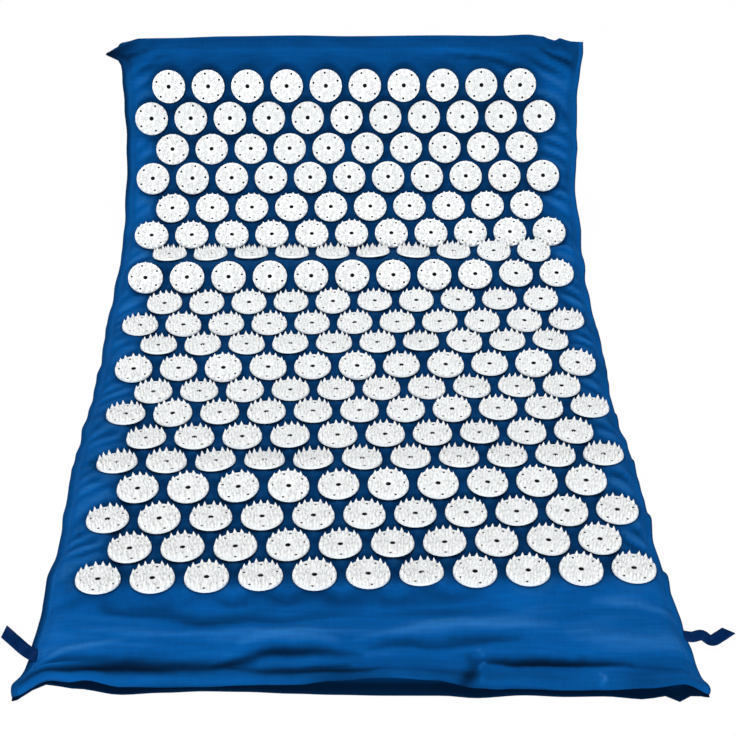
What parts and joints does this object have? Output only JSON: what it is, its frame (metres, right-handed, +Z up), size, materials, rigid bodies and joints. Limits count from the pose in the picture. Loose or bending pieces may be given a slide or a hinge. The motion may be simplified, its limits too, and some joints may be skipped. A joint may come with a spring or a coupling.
{
  "type": "acupressure mat",
  "caption": "Foam mat in a sewn blue cotton cover, with staggered rows of round spiked plates, a closed mouth and two tie tapes at one end, head end curled up.",
  "frame": {"origin": "on the floor, under the middle of the box around the mat as it lies in its rest pose", "axes": "+Z up, +Y from the near hem with the tie tapes to the curled head end, +X to the right as seen from the near hem"},
  "size_m": [0.4774, 0.6208, 0.1682],
  "materials": {
    "cover_cotton": "matte",
    "tie_tape_cotton": "matte",
    "foam": "matte",
    "disc_plastic": "gloss",
    "closure_strip": "matte"
  },
  "bodies": {
    "mat_foot": {"cover_top_panel": "cover_cotton", "cover_back_panel": "cover_cotton", "foam_core_foot": "foam", "loop_strip": "closure_strip", "hook_strip": "closure_strip", "disc_row_01": "disc_plastic", "disc_row_02": "disc_plastic", "disc_row_03": "disc_plastic", "disc_row_04": "disc_plastic", "disc_row_05": "disc_plastic", "disc_row_06": "disc_plastic", "disc_row_07": "disc_plastic", "disc_row_08": "disc_plastic", "disc_row_09": "disc_plastic", "disc_row_10": "disc_plastic", "disc_row_11": "disc_plastic", "disc_row_12": "disc_plastic", "disc_row_13": "disc_plastic", "disc_row_14": "disc_plastic"},
    "mat_head": {"foam_core_head": "foam", "disc_row_15": "disc_plastic", "disc_row_16": "disc_plastic", "disc_row_17": "disc_plastic", "disc_row_18": "disc_plastic", "disc_row_19": "disc_plastic", "disc_row_20": "disc_plastic"},
    "tape_left": {"tie_tape_left": "tie_tape_cotton"},
    "tape_right": {"tie_tape_right": "tie_tape_cotton"}
  },
  "joints": [
    {"name": "head_bend", "type": "hinge", "parent": "mat_foot", "child": "mat_head", "pos_m": [0, 0.1658, 0.03384], "axis": [1, 0, 0], "range_deg": [-25, 80], "deforming": ["cover_top_panel", "cover_back_panel"]},
    {"name": "tie_tape_left_lift", "type": "hinge", "parent": "mat_foot", "child": "tape_left", "pos_m": [-0.21157, -0.27901, 0.00174], "axis": [0, 1, 0], "range_deg": [0, 100]},
    {"name": "tie_tape_right_lift", "type": "hinge", "parent": "mat_foot", "child": "tape_right", "pos_m": [0.21157, -0.27901, 0.00174], "axis": [0, -1, 0], "range_deg": [0, 100]}
  ]
}
